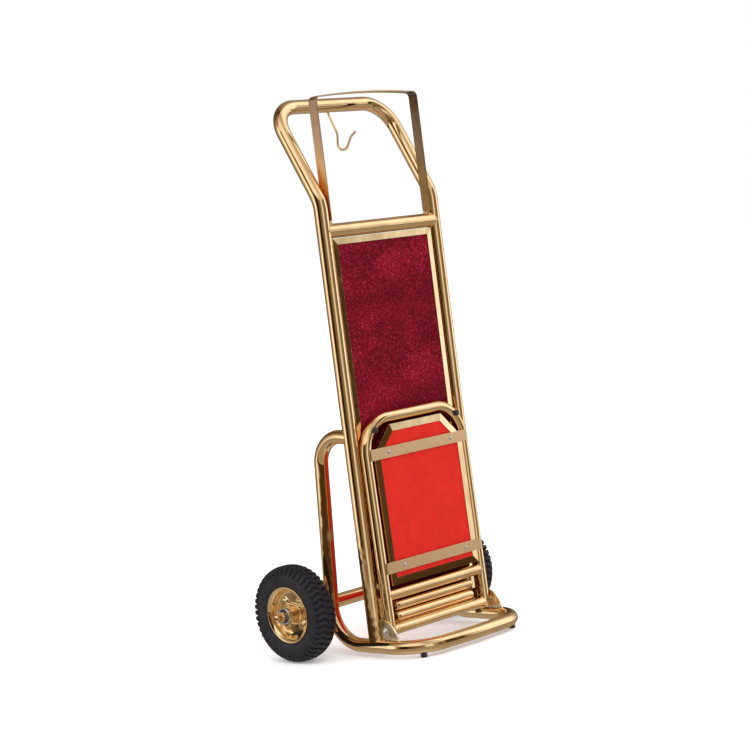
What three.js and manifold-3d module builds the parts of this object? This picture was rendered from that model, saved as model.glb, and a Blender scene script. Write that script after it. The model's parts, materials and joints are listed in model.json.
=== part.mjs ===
// A folding luggage cart for hotels: a leaning tubular back frame with a bent handle, a flat-bar
// garment hanger, a carpeted back panel, a toe platform that folds up against the frame, and two
// tyred wheels on an axle behind the legs. Millimetres, +Z up, +Y towards the wheels.
import * as THREE from "three";
import { mergeVertices } from "three/addons/utils/BufferGeometryUtils.js";
import Module from "manifold-3d";

const wasm = await Module();
wasm.setup();

// ---------- driving dimensions ----------
const GAP = 0.3; // left between pieces that touch
const TUBE_R = 16; // frame tube, 32 mm outside
const HOOP_R = 12.7; // platform tube, 25.4 mm outside

const UPRIGHT_X = 181; // half the distance between the uprights
const LEAN = 1.44; // the back frame leans back, degrees
const KINK_S = 1021; // along the frame, where the handle bends back
const KINK_RADIUS = 80;
const HANDLE_ANGLE = 27.6; // handle against the frame, degrees
const HANDLE_LENGTH = 249; // from the kink to the grip bar
const GRIP_CORNER_RADIUS = 68;
const UPRIGHT_TOP_S = 995; // the uprights are welded to the bent handle here

const RAIL_X = 184; // side rails and legs
const RAIL_Z = 24.8;
const RAIL_FRONT_Y = -46;
const LEG_FOOT_Y = 131.4;
const LEG_TOP_Y = 106.5;
const LEG_TOP_Z = 503;
const LEG_JOINT_Z = 497;
const LEG_FOOT_RADIUS = 82;
const LEG_TOP_RADIUS = 65;
const BOW_SIDE_Y = -124; // where the side rail and the bow would meet
const BOW_TIP_Y = -140;
const BOW_CORNER_RADIUS = 83;
const BOW_RADIUS = 1150;
const FOOT_X = 152; // rubber feet under the bow's corners
const FOOT_Y = -113.5;

const WHEEL_R = 111;
const WHEEL_X = 270.5; // centre plane of each tyre
const AXLE_Y = 159.3;
const AXLE_R = 8;
const AXLE_HALF_LENGTH = 331;
const AXLE_TUBE_HALF_LENGTH = 222;
const AXLE_NUT_X = 312.5;
const AXLE_NUT_R = 13;
const AXLE_NUT_THICKNESS = 9;
const SPLIT_PIN_X = 324;
const SPLIT_PIN_R = 1.5;
const SPLIT_PIN_HALF_LENGTH = 13;

const TOP_BAR_S = 955;

const PANEL_BOTTOM_S = 56;
const PANEL_TOP_S = 938;
const PANEL_HALF_WIDTH = 162;
const TRIM_WIDTH = 14.5; // polished flat trim round both boards

const RUB_RAIL_R = 12; // two short rails across the foot of the panel
const RUB_RAIL_HALF_LENGTH = 130;
const RUB_RAIL_OFF = 18.1;
const RUB_RAIL_S = { lower: 80.5, upper: 106 };

const HOOK_WIRE_R = 2.6;
const HOOK_ROUTE = [ // [y, z] of the hook's corners, from the grip down and forward to its tip
  [149, 1220.9],
  [126.5, 1172],
  [129.5, 1134.5],
  [103, 1134],
  [86, 1160],
  [68, 1172],
];
const HOOK_RADII = [20, 14, 18, 12];

const HANGER_X = 164.7;
const HANGER_CORNER_S = 1252.5;
const HANGER_CROWN = 5.5; // how far its top bar arches up between the corners
const HANGER_BOSS_R = 6.2;
const HANGER_BOSS_HEIGHT = 6;
const HANGER_THICKNESS = 3;
const HANGER_DEPTH = 25;

const HINGE_S = 56.4; // platform pivot, along the frame and in front of it
const HINGE_OFF = 29.5;
const PLATFORM_LEAN = LEAN + 1.03;
const HOOP_X = 161.5;
const HOOP_LENGTH = 472.6; // pivot to the middle of the end bar
const HOOP_CORNER_RADIUS = 80;
const HOOP_TAIL = 12.5;
const PLATFORM_BAR_U = 77.8;
const BOARD_BOTTOM_U = 98.6;
const BOARD_TOP_U = 455.6;
const BOARD_HALF_WIDTH = 145.5;
const BOARD_CHAMFER = 59;
const STRAP_WIDTH = 25;
const STRAP_THICKNESS = 3;
const STRAP_US = [138.8, 395];
const STRAP_SCREW_X = 104;
const BUMPER_X = 137;
const BUMPER_U = 449.3;

const EAR_X = 178.5; // middle of each ear plate
const EAR_THICKNESS = 4;
const EAR_RADIUS = 53;
const EAR_BACK_Y = -13.5;
const PIVOT_R = 5.7;

const BOW_FRONT_Y = -135.6 - TUBE_R;
const MIDDLE_Y = (BOW_FRONT_Y + AXLE_Y + WHEEL_R) / 2; // the origin lies half way along the cart

// ---------- finishes ----------
const finish = (color, roughness, metalness) =>
  new THREE.MeshStandardMaterial({ color, roughness, metalness });
const gold = finish(0xd9a760, 0.12, 1);
const flatGold = finish(0xc4935a, 0.3, 1);
const steel = finish(0xc8c8c6, 0.25, 1);
const tyreRubber = finish(0x28262a, 0.75, 0);
const blackRubber = finish(0x1a1a1c, 0.6, 0);
const carpetPile = finish(0x7b1624, 0.95, 0);
const redBoard = finish(0xe03124, 0.8, 0);

// ---------- scene graph ----------
const cart = new THREE.Group();
const ground = new THREE.Group(); // upright parts, measured from the foot of the back frame
ground.position.y = -MIDDLE_Y;
cart.add(ground);

const backFrame = new THREE.Group(); // z runs up along the frame, -y points out of its front
backFrame.rotation.x = THREE.MathUtils.degToRad(-LEAN);
ground.add(backFrame);

const platform = new THREE.Group(); // z runs from the pivot to the end bar, -y is the underside
platform.rotation.x = THREE.MathUtils.degToRad(-PLATFORM_LEAN);
platform.position.copy(
  new THREE.Vector3(0, -HINGE_OFF, HINGE_S).applyEuler(backFrame.rotation),
);
ground.add(platform);
cart.updateMatrixWorld(true);

function add(parent, name, geometry, material) {
  const mesh = new THREE.Mesh(geometry, material);
  mesh.name = name;
  parent.add(mesh);
  return mesh;
}

// ---------- solids ----------
function toSolid(geometry) {
  const bare = geometry.index ? geometry.toNonIndexed() : geometry.clone();
  bare.deleteAttribute("normal");
  bare.deleteAttribute("uv");
  const merged = mergeVertices(bare, 1e-3);
  return new wasm.Manifold(
    new wasm.Mesh({
      numProp: 3,
      vertProperties: merged.attributes.position.array,
      triVerts: new Uint32Array(merged.index.array),
    }),
  );
}

function toGeometry(solid) {
  const { vertProperties, triVerts } = solid.getMesh();
  const geometry = new THREE.BufferGeometry();
  geometry.setAttribute("position", new THREE.BufferAttribute(vertProperties, 3));
  geometry.setIndex(new THREE.BufferAttribute(triVerts, 1));
  geometry.computeVertexNormals();
  return geometry;
}

const cut = (geometry, ...cutters) =>
  toGeometry(cutters.reduce((solid, c) => solid.subtract(toSolid(c)), toSolid(geometry)));

const at = (x, y, z) => new THREE.Vector3(x, y, z);

// The radius of a 16-sided cutter whose flats clear a round piece by the usual gap.
const clear = (radius) => (radius + GAP) / Math.cos(Math.PI / 16);

// A straight round bar between two points.
function rod(from, to, radius, sides = 16) {
  const along = to.clone().sub(from);
  const geometry = new THREE.CylinderGeometry(radius, radius, along.length(), sides);
  geometry.rotateX(Math.PI / 2);
  const turn = new THREE.Quaternion().setFromUnitVectors(at(0, 0, 1), along.clone().normalize());
  geometry.applyQuaternion(turn);
  const middle = from.clone().add(to).multiplyScalar(0.5);
  return geometry.translate(middle.x, middle.y, middle.z);
}

// A block from its two opposite corners.
function block(low, high) {
  const size = high.clone().sub(low);
  const geometry = new THREE.BoxGeometry(size.x, size.y, size.z);
  const middle = low.clone().add(high).multiplyScalar(0.5);
  return geometry.translate(middle.x, middle.y, middle.z);
}

// A round disc or ring turned about the X axis, from a profile of [x, radius] pairs.
function turned(profile, segments = 24) {
  const points = profile.map(([x, radius]) => new THREE.Vector2(radius, x));
  const geometry = new THREE.LatheGeometry(points, segments);
  return geometry.rotateZ(-Math.PI / 2);
}

// The path of a bent tube: straight runs between corner points, with an arc at each corner. The
// arcs are divided finely and the straight runs not at all.
class BentPath extends THREE.Curve {
  constructor(corners, radii, stepDegrees = 15) {
    super();
    this.stations = [];
    const last = corners.length - 1;
    const direction = (i) => corners[i + 1].clone().sub(corners[i]).normalize();
    this.stations.push({ point: corners[0], tangent: direction(0) });
    for (let i = 1; i < last; i++) {
      const before = direction(i - 1);
      const after = direction(i);
      const angle = before.angleTo(after);
      const radius = radii[i - 1];
      const start = corners[i].clone().addScaledVector(before, -radius * Math.tan(angle / 2));
      const axis = before.clone().cross(after).normalize();
      const centre = start.clone().addScaledVector(axis.clone().cross(before), radius);
      const steps = Math.max(2, Math.ceil(THREE.MathUtils.radToDeg(angle) / stepDegrees));
      for (let k = 0; k <= steps; k++) {
        const turn = (angle * k) / steps;
        const point = start.clone().sub(centre).applyAxisAngle(axis, turn).add(centre);
        const tangent = before.clone().applyAxisAngle(axis, turn);
        this.stations.push({ point, tangent });
      }
    }
    this.stations.push({ point: corners[last], tangent: direction(last - 1) });
  }
  station(u) {
    return this.stations[Math.round(u * (this.stations.length - 1))];
  }
  getPointAt(u, target = new THREE.Vector3()) {
    return target.copy(this.station(u).point);
  }
  getTangentAt(u, target = new THREE.Vector3()) {
    return target.copy(this.station(u).tangent);
  }
}

function bentTube(corners, radii, radius, { sides = 14, stepDegrees = 15 } = {}) {
  const path = new BentPath(corners, radii, stepDegrees);
  const section = new THREE.Shape();
  for (let i = 0; i < sides; i++) {
    const angle = (2 * Math.PI * i) / sides;
    const x = radius * Math.cos(angle);
    const y = radius * Math.sin(angle);
    if (i === 0) section.moveTo(x, y);
    else section.lineTo(x, y);
  }
  section.closePath();
  const steps = path.stations.length - 1;
  return new THREE.ExtrudeGeometry(section, { steps, extrudePath: path, bevelEnabled: false });
}

// A flat plate in the XZ plane, from y = front to y = back.
function plate(outline, front, back, hole) {
  const shape = new THREE.Shape(outline.map(([x, z]) => new THREE.Vector2(x, z)));
  if (hole) shape.holes.push(new THREE.Path(hole.map(([x, z]) => new THREE.Vector2(x, z))));
  const geometry = new THREE.ExtrudeGeometry(shape, { depth: back - front, bevelEnabled: false });
  return geometry.rotateX(Math.PI / 2).translate(0, back, 0);
}

const rectangle = (halfWidth, bottom, top) => [
  [-halfWidth, bottom],
  [halfWidth, bottom],
  [halfWidth, top],
  [-halfWidth, top],
];

// The platform board's outline: a rectangle with its two outer corners cut off.
function boardOutline(inset) {
  const halfWidth = BOARD_HALF_WIDTH - inset;
  const bottom = BOARD_BOTTOM_U + inset;
  const top = BOARD_TOP_U - inset;
  const chamfer = BOARD_CHAMFER - inset * (2 - Math.SQRT2);
  return [
    [-halfWidth, bottom],
    [halfWidth, bottom],
    [halfWidth, top - chamfer],
    [halfWidth - chamfer, top],
    [-(halfWidth - chamfer), top],
    [-halfWidth, top - chamfer],
  ];
}

// A dome-headed screw whose head rests on the plane y = 0 and faces -y.
function domeScrew(headRadius, headHeight, shankRadius, shankLength) {
  const profile = [at(0, -headHeight, 0)];
  for (const [share, height] of [[0.5, 0.87], [0.87, 0.5], [1, 0]])
    profile.push(at(headRadius * share, -headHeight * height, 0));
  profile.push(at(shankRadius, 0, 0), at(shankRadius, shankLength, 0), at(0, shankLength, 0));
  return new THREE.LatheGeometry(profile.map((p) => new THREE.Vector2(p.x, p.y)), 12);
}

const sides = [
  ["left", -1],
  ["right", 1],
];

// ---------- back frame: uprights, handle, crossbar ----------
function uprightRod(side, radius) {
  return rod(at(side * UPRIGHT_X, 0, 0), at(side * UPRIGHT_X, 0, UPRIGHT_TOP_S), radius);
}

// The side rail as a cutter, in the frame's leaning space.
function railCutter(side) {
  const ends = [-60, 60].map((y) => at(side * RAIL_X, y, RAIL_Z).applyEuler(
    new THREE.Euler(-backFrame.rotation.x, 0, 0)));
  return rod(ends[0], ends[1], clear(TUBE_R));
}

function makeUprights() {
  for (const [name, side] of sides) {
    const bar = rod(at(side * UPRIGHT_X, 0, RAIL_Z), at(side * UPRIGHT_X, 0, UPRIGHT_TOP_S), TUBE_R);
    add(backFrame, `upright_${name}`, cut(bar, railCutter(side)), gold);
  }
}

function makeHandle() {
  const angle = THREE.MathUtils.degToRad(HANDLE_ANGLE);
  const gripY = HANDLE_LENGTH * Math.sin(angle);
  const gripZ = KINK_S + HANDLE_LENGTH * Math.cos(angle);
  const route = [
    at(-UPRIGHT_X, 0, UPRIGHT_TOP_S + GAP),
    at(-UPRIGHT_X, 0, KINK_S),
    at(-UPRIGHT_X, gripY, gripZ),
    at(UPRIGHT_X, gripY, gripZ),
    at(UPRIGHT_X, 0, KINK_S),
    at(UPRIGHT_X, 0, UPRIGHT_TOP_S + GAP),
  ];
  const radii = [KINK_RADIUS, GRIP_CORNER_RADIUS, GRIP_CORNER_RADIUS, KINK_RADIUS];
  add(backFrame, "handle_hoop", bentTube(route, radii, TUBE_R), gold);
}

function makeCrossbar() {
  const bar = rod(at(-UPRIGHT_X, 0, TOP_BAR_S), at(UPRIGHT_X, 0, TOP_BAR_S), TUBE_R);
  const cutters = sides.map(([, side]) => uprightRod(side, clear(TUBE_R)));
  add(backFrame, "crossbar_top", cut(bar, ...cutters), gold);
}

// ---------- garment hanger and hook ----------
function makeHanger() {
  const foot = TOP_BAR_S + TUBE_R + HANGER_BOSS_HEIGHT + GAP;
  const corner = 14;
  const outline = (x, top, radius) => {
    const half = [];
    for (let i = 0; i <= 4; i++) {
      const a = (Math.PI / 2) * (i / 4);
      half.push([x - radius + radius * Math.cos(a), top - radius + radius * Math.sin(a)]);
    }
    for (const share of [0.75, 0.5, 0.25]) {
      half.push([(x - radius) * share, top + HANGER_CROWN * (1 - share ** 2)]);
    }
    return [...half, [0, top + HANGER_CROWN], ...half.map(([px, pz]) => [-px, pz]).reverse()];
  };
  const inner = HANGER_X - HANGER_THICKNESS;
  const innerCorner = HANGER_CORNER_S - HANGER_THICKNESS;
  const points = [
    [HANGER_X, foot],
    ...outline(HANGER_X, HANGER_CORNER_S, corner),
    [-HANGER_X, foot],
    [-inner, foot],
    ...outline(inner, innerCorner, corner - HANGER_THICKNESS).reverse(),
    [inner, foot],
  ];
  add(backFrame, "garment_hanger", plate(points, -HANGER_DEPTH / 2, HANGER_DEPTH / 2), flatGold);
  const crossbar = rod(at(-UPRIGHT_X, 0, TOP_BAR_S), at(UPRIGHT_X, 0, TOP_BAR_S), clear(TUBE_R));
  for (const [name, side] of sides) {
    const boss = turned([
      [0, 0],
      [0, HANGER_BOSS_R],
      [TUBE_R + 2.5, HANGER_BOSS_R],
      [TUBE_R + 5, HANGER_BOSS_R * 0.6],
      [TUBE_R + HANGER_BOSS_HEIGHT, 0],
    ]).rotateY(-Math.PI / 2);
    boss.translate(side * (UPRIGHT_X - TUBE_R - HANGER_BOSS_R - 1), 0, TOP_BAR_S);
    add(backFrame, `hanger_boss_${name}`, cut(boss, crossbar), gold);
  }
}

// A bent wire hook, welded under the grip and curling forward.
function makeHook() {
  const route = HOOK_ROUTE.map(([y, z]) => at(0, y, z));
  const hook = bentTube(route, HOOK_RADII, HOOK_WIRE_R, { sides: 8, stepDegrees: 20 });
  add(ground, "garment_hook", hook, gold);
}

// ---------- base loop: legs, side rails, front bow ----------
function makeLegs() {
  const uprightAxis = (s, side) => at(side * UPRIGHT_X, 0, s).applyEuler(backFrame.rotation);
  for (const [name, side] of sides) {
    const route = [
      uprightAxis(LEG_JOINT_Z, side),
      at(side * RAIL_X, LEG_TOP_Y, LEG_TOP_Z),
      at(side * RAIL_X, LEG_FOOT_Y, RAIL_Z),
      at(side * RAIL_X, RAIL_FRONT_Y + GAP, RAIL_Z),
    ];
    const leg = bentTube(route, [LEG_TOP_RADIUS, LEG_FOOT_RADIUS], TUBE_R);
    const cutter = rod(uprightAxis(400, side), uprightAxis(600, side), clear(TUBE_R));
    add(ground, `leg_${name}`, cut(leg, cutter), gold);
  }
}

function bowTube(radius, sidesOfTube) {
  const route = [
    at(-RAIL_X, RAIL_FRONT_Y, RAIL_Z),
    at(-RAIL_X, BOW_SIDE_Y, RAIL_Z),
    at(0, BOW_TIP_Y, RAIL_Z),
    at(RAIL_X, BOW_SIDE_Y, RAIL_Z),
    at(RAIL_X, RAIL_FRONT_Y, RAIL_Z),
  ];
  const radii = [BOW_CORNER_RADIUS, BOW_RADIUS, BOW_CORNER_RADIUS];
  return bentTube(route, radii, radius, { sides: sidesOfTube, stepDegrees: 12 });
}

function makeBow() {
  add(ground, "base_bow", bowTube(TUBE_R, 14), gold);
  for (const [name, side] of sides) {
    const foot = turned([[0, 0], [0, 6.8], [5, 7.6], [15, 7.6], [15, 0]], 12).rotateY(-Math.PI / 2);
    foot.translate(side * FOOT_X, FOOT_Y, 0);
    add(ground, `foot_${name}`, cut(foot, bowTube(clear(TUBE_R), 16)), blackRubber);
  }
}

// ---------- carpeted back panel ----------
function makePanel() {
  const outer = rectangle(PANEL_HALF_WIDTH, PANEL_BOTTOM_S, PANEL_TOP_S);
  const pileOpening = rectangle(
    PANEL_HALF_WIDTH - TRIM_WIDTH, PANEL_BOTTOM_S + TRIM_WIDTH, PANEL_TOP_S - TRIM_WIDTH);
  const pile = rectangle(
    PANEL_HALF_WIDTH - TRIM_WIDTH - GAP,
    PANEL_BOTTOM_S + TRIM_WIDTH + GAP,
    PANEL_TOP_S - TRIM_WIDTH - GAP,
  );
  add(backFrame, "panel_board", plate(outer, 0, 8), redBoard);
  add(backFrame, "panel_trim", plate(outer, -5.5, -GAP, pileOpening), flatGold);
  add(backFrame, "panel_carpet", plate(pile, -5.8, -GAP), carpetPile);
  for (const [name, s] of [["lower", 250], ["upper", 820]]) {
    const strap = block(
      at(-UPRIGHT_X, 8 + GAP, s - STRAP_WIDTH / 2),
      at(UPRIGHT_X, 8 + GAP + STRAP_THICKNESS, s + STRAP_WIDTH / 2),
    );
    const cutters = sides.map(([, side]) => uprightRod(side, clear(TUBE_R)));
    add(backFrame, `panel_strap_${name}`, centrePiece(cut(strap, ...cutters)), flatGold);
  }
}

function makeRubRails() {
  for (const [name, s] of Object.entries(RUB_RAIL_S)) {
    const ends = sides.map(([, side]) => at(side * RUB_RAIL_HALF_LENGTH, -RUB_RAIL_OFF, s));
    add(backFrame, `rub_rail_${name}`, rod(...ends, RUB_RAIL_R), gold);
  }
}

// Of a bar cut by the uprights, only the length between them stays.
function centrePiece(geometry) {
  const pieces = toSolid(geometry).decompose();
  pieces.sort((a, b) => b.volume() - a.volume());
  return toGeometry(pieces[0]);
}

// ---------- folding platform ----------
function makePlatform() {
  const route = [
    at(-HOOP_X, 0, -HOOP_TAIL),
    at(-HOOP_X, 0, HOOP_LENGTH),
    at(HOOP_X, 0, HOOP_LENGTH),
    at(HOOP_X, 0, -HOOP_TAIL),
  ];
  const hoop = bentTube(route, [HOOP_CORNER_RADIUS, HOOP_CORNER_RADIUS], HOOP_R);
  const boltHole = rod(at(-200, 0, 0), at(200, 0, 0), clear(PIVOT_R));
  add(platform, "platform_hoop", cut(hoop, boltHole), gold);

  const legCutters = sides.map(([, side]) =>
    rod(at(side * HOOP_X, 0, -60), at(side * HOOP_X, 0, 200), clear(HOOP_R)));
  const crossbar = rod(at(-HOOP_X, 0, PLATFORM_BAR_U), at(HOOP_X, 0, PLATFORM_BAR_U), HOOP_R);
  add(platform, "platform_crossbar", cut(crossbar, ...legCutters), gold);
  const hingeTube = rod(at(-HOOP_X, 0, 0), at(HOOP_X, 0, 0), HOOP_R);
  add(platform, "hinge_tube", cut(hingeTube, ...legCutters, boltHole), gold);

  add(platform, "platform_board", plate(boardOutline(0), -11.6, -4), redBoard);
  add(platform, "platform_trim",
    plate(boardOutline(0), -13, -11.6 - GAP, boardOutline(TRIM_WIDTH + 1.5)), flatGold);
  add(platform, "platform_carpet", plate(boardOutline(1), -4 + GAP, 1.5), carpetPile);

  for (const [name, u] of [["inner", STRAP_US[0]], ["outer", STRAP_US[1]]]) {
    const front = -(HOOP_R + 2 * GAP + STRAP_THICKNESS);
    const strap = block(
      at(-HOOP_X, front, u - STRAP_WIDTH / 2),
      at(HOOP_X, front + STRAP_THICKNESS, u + STRAP_WIDTH / 2),
    );
    const holes = sides.map(([, side]) =>
      rod(at(side * STRAP_SCREW_X, front - 1, u), at(side * STRAP_SCREW_X, front + 1.5, u), 2.4, 12));
    add(platform, `platform_strap_${name}`, cut(strap, ...holes), flatGold);
    for (const [sideName, side] of sides) {
      const screw = domeScrew(4.2, 2, 2, 1).translate(side * STRAP_SCREW_X, front - GAP, u);
      add(platform, `strap_screw_${name}_${sideName}`, screw, steel);
    }
  }

  for (const [name, side] of sides) {
    const bumper = turned([[-8, 0], [-8, 5], [-6, 7.5], [0, 8], [8, 8], [8, 0]], 12);
    bumper.rotateZ(Math.PI / 2).translate(side * BUMPER_X, -HOOP_R, BUMPER_U);
    const corner = at(side * (HOOP_X - HOOP_CORNER_RADIUS), 0, HOOP_LENGTH - HOOP_CORNER_RADIUS);
    const seat = new THREE.TorusGeometry(HOOP_CORNER_RADIUS, HOOP_R + GAP, 16, 32);
    seat.rotateX(Math.PI / 2).translate(corner.x, corner.y, corner.z);
    const front = toSolid(cut(bumper, seat)).decompose();
    front.sort((a, b) => a.boundingBox().min[1] - b.boundingBox().min[1]);
    add(platform, `bumper_${name}`, toGeometry(front[0]), blackRubber);
  }
}

// ---------- ear plates and pivot bolts ----------
function makeEars() {
  const hinge = platform.position;
  for (const [name, side] of sides) {
    const shape = new THREE.Shape();
    shape.moveTo(0, 0);
    shape.lineTo(0, EAR_RADIUS + 4);
    shape.absellipse(0, 0, EAR_RADIUS, EAR_RADIUS, Math.PI / 2, 0, true);
    shape.closePath();
    const geometry = new THREE.ExtrudeGeometry(shape, {
      depth: EAR_THICKNESS,
      bevelEnabled: false,
      curveSegments: 8,
    });
    // the shape's x runs forward (-Y), its y runs up, its depth along X
    const turn = new THREE.Matrix4().makeBasis(at(0, -1, 0), at(0, 0, 1), at(-1, 0, 0));
    geometry.applyMatrix4(turn);
    geometry.translate(side * EAR_X + EAR_THICKNESS / 2, EAR_BACK_Y, RAIL_Z + 8);
    const rail = rod(at(side * RAIL_X, 40, RAIL_Z), at(side * RAIL_X, RAIL_FRONT_Y, RAIL_Z), clear(TUBE_R));
    const bow = bowTube(clear(TUBE_R), 16);
    const upright = rod(
      at(side * UPRIGHT_X, 0, 0).applyEuler(backFrame.rotation),
      at(side * UPRIGHT_X, 0, 200).applyEuler(backFrame.rotation), clear(TUBE_R));
    const hole = rod(at(side * 150, hinge.y, hinge.z), at(side * 210, hinge.y, hinge.z), clear(PIVOT_R));
    const ear = toSolid(cut(geometry, rail, bow, upright, hole)).decompose();
    ear.sort((a, b) => b.volume() - a.volume());
    add(ground, `ear_plate_${name}`, toGeometry(ear[0]), gold);

    const bolt = domeScrew(8, 4.5, PIVOT_R, 34).rotateZ((side * Math.PI) / 2);
    bolt.translate(side * (EAR_X + EAR_THICKNESS / 2 + GAP), hinge.y, hinge.z);
    add(ground, `pivot_bolt_${name}`, bolt, steel);

    const spacerFrom = HOOP_X + HOOP_R + GAP;
    const spacerTo = EAR_X - EAR_THICKNESS / 2 - GAP;
    const washer = turned([
      [spacerFrom, PIVOT_R + GAP], [spacerFrom, 10.5], [spacerTo, 10.5],
      [spacerTo, PIVOT_R + GAP], [spacerFrom, PIVOT_R + GAP],
    ], 16);
    if (side < 0) washer.rotateZ(Math.PI);
    washer.translate(0, hinge.y, hinge.z);
    add(ground, `pivot_washer_${name}`, washer, steel);
  }
}

// ---------- axle and wheels ----------
function makeAxle() {
  const bore = rod(at(-240, AXLE_Y, WHEEL_R), at(240, AXLE_Y, WHEEL_R), clear(AXLE_R));
  const tube = rod(
    at(-AXLE_TUBE_HALF_LENGTH, AXLE_Y, WHEEL_R), at(AXLE_TUBE_HALF_LENGTH, AXLE_Y, WHEEL_R), TUBE_R);
  add(ground, "axle_tube", cut(tube, bore), gold);
  const shaft = rod(
    at(-AXLE_HALF_LENGTH, AXLE_Y, WHEEL_R), at(AXLE_HALF_LENGTH, AXLE_Y, WHEEL_R), AXLE_R - GAP / 3);
  // a bar across the axle at x, reaching the same distance to both sides
  const across = (x, reach, radius) =>
    rod(at(x, AXLE_Y - reach, WHEEL_R), at(x, AXLE_Y + reach, WHEEL_R), radius, 8);
  const pinHoles = sides.map(([, side]) => across(side * SPLIT_PIN_X, 2 * AXLE_R, SPLIT_PIN_R + 0.4));
  add(ground, "axle_shaft", cut(shaft, ...pinHoles), gold);
  for (const [name, side] of sides) {
    const nut = new THREE.CylinderGeometry(AXLE_NUT_R, AXLE_NUT_R, AXLE_NUT_THICKNESS, 6);
    nut.rotateZ(Math.PI / 2).translate(side * AXLE_NUT_X, AXLE_Y, WHEEL_R);
    const hole = rod(
      at(side * (AXLE_NUT_X - AXLE_NUT_THICKNESS), AXLE_Y, WHEEL_R),
      at(side * (AXLE_NUT_X + AXLE_NUT_THICKNESS), AXLE_Y, WHEEL_R), clear(AXLE_R));
    add(ground, `axle_nut_${name}`, cut(nut, hole), gold);
    const pin = across(side * SPLIT_PIN_X, SPLIT_PIN_HALF_LENGTH, SPLIT_PIN_R);
    add(ground, `split_pin_${name}`, pin, steel);
  }
}

function makeWheel(name, side) {
  const tyre = turned([
    [-22, 54.9], [-22, 64.6], [-24.5, 65], [-28, 74], [-28.3, 88], [-25, 100], [-19, 107.5],
    [-8, WHEEL_R], [8, WHEEL_R], [19, 107.5], [25, 100], [28.3, 88], [28, 74], [24.5, 65],
    [22, 64.6], [22, 54.9], [-22, 54.9],
  ], 32);
  // one pressed half of the split rim, from the joint face at x = 0 to the flange lip
  const halfRim = [
    [0.2, 19.8], [0.6, 54], [22.4, 54], [22.4, 64], [26.3, 64], [26.3, 61.5], [20, 57],
    [12, 51.5], [7, 44], [3.2, 40], [3.2, 19.8], [0.2, 19.8],
  ];
  const hub = turned([
    [-24, AXLE_R + 1.5], [-24, 19.2], [24, 19.2], [24, AXLE_R + 1.5],
    [-24, AXLE_R + 1.5],
  ], 20);
  const bearing = [
    [24.3, AXLE_R + GAP], [24.3, 18.5], [35.5, 18.5], [35.5, AXLE_R + GAP], [24.3, AXLE_R + GAP],
  ];
  const mirrored = (profile) => profile.map(([x, r]) => [-x, r]).reverse();
  const outer = side < 0 ? mirrored : (profile) => profile;
  const inner = side < 0 ? (profile) => profile : mirrored;
  const pieces = [
    ["tyre", tyre, tyreRubber],
    ["rim_outer", turned(outer(halfRim)), gold],
    ["rim_inner", turned(inner(halfRim)), gold],
    ["hub", hub, gold],
    ["bearing_outer", turned(outer(bearing), 20), steel],
    ["bearing_inner", turned(inner(bearing), 20), steel],
  ];
  for (const [piece, geometry, material] of pieces) {
    geometry.translate(side * WHEEL_X, AXLE_Y, WHEEL_R);
    add(ground, `${piece}_${name}`, geometry, material);
  }
}

makeUprights();
makeHandle();
makeCrossbar();
makeHanger();
makeHook();
makeLegs();
makeBow();
makePanel();
makeRubRails();
makePlatform();
makeEars();
makeAxle();
sides.forEach(([name, side]) => makeWheel(name, side));

export default cart;
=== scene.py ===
"""The looks of the folding luggage cart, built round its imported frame.

Shapes are drawn in millimetres in one of three local spaces, GROUND, FRAME and PLATFORM, whose
matrices place them in the row frame. PLATFORM's z runs from the pivot to the end bar.
"""
import json
from math import cos, pi, radians, sin, sqrt, tan

import bmesh
import bpy
import numpy as np
from mathutils import Matrix, Vector


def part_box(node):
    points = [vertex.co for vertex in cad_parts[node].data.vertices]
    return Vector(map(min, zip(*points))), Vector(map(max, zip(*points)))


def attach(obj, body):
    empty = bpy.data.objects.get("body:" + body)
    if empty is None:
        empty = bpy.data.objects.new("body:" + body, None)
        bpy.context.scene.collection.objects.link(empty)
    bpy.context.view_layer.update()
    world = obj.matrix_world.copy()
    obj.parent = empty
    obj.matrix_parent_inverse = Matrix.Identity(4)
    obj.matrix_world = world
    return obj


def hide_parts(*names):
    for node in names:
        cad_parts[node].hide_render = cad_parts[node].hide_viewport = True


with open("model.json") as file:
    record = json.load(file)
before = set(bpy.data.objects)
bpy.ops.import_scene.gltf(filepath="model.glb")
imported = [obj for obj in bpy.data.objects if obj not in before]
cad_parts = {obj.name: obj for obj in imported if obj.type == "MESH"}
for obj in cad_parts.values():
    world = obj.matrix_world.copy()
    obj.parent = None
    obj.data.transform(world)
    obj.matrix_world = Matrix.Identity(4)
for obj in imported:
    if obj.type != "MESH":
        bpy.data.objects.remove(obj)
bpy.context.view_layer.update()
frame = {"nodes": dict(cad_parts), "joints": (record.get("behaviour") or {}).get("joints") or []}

# ---------- driving dimensions, millimetres and degrees ----------
MM = 0.001
TUBE_R = 16
HOOP_R = 12.7
UPRIGHT_X = 181
LEAN = 1.44
KINK_S = 1021
KINK_RADIUS = 80
HANDLE_ANGLE = 27.6
HANDLE_LENGTH = 249
GRIP_CORNER_RADIUS = 68
RAIL_X = 184
RAIL_Z = 24.8
LEG_FOOT_Y = 131.4
LEG_TOP_Y = 106.5
LEG_TOP_Z = 503
LEG_JOINT_Z = 497
LEG_FOOT_RADIUS = 82
LEG_TOP_RADIUS = 65
BOW_SIDE_Y = -124
BOW_TIP_Y = -140
BOW_CORNER_RADIUS = 83
BOW_RADIUS = 1150
AXLE_Y = 159.3
AXLE_R = 7.9
WHEEL_R = 111
WHEEL_X = 270.5
AXLE_TUBE_HALF_LENGTH = 222
AXLE_HALF_LENGTH = 331
AXLE_NUT_X = 312.5
SPLIT_PIN_X = 324
SPLIT_PIN_WIRE_R = 1.1
CROSSBAR_S = 955
PANEL_S = (56, 938)
PANEL_HALF_WIDTH = 162
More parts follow.
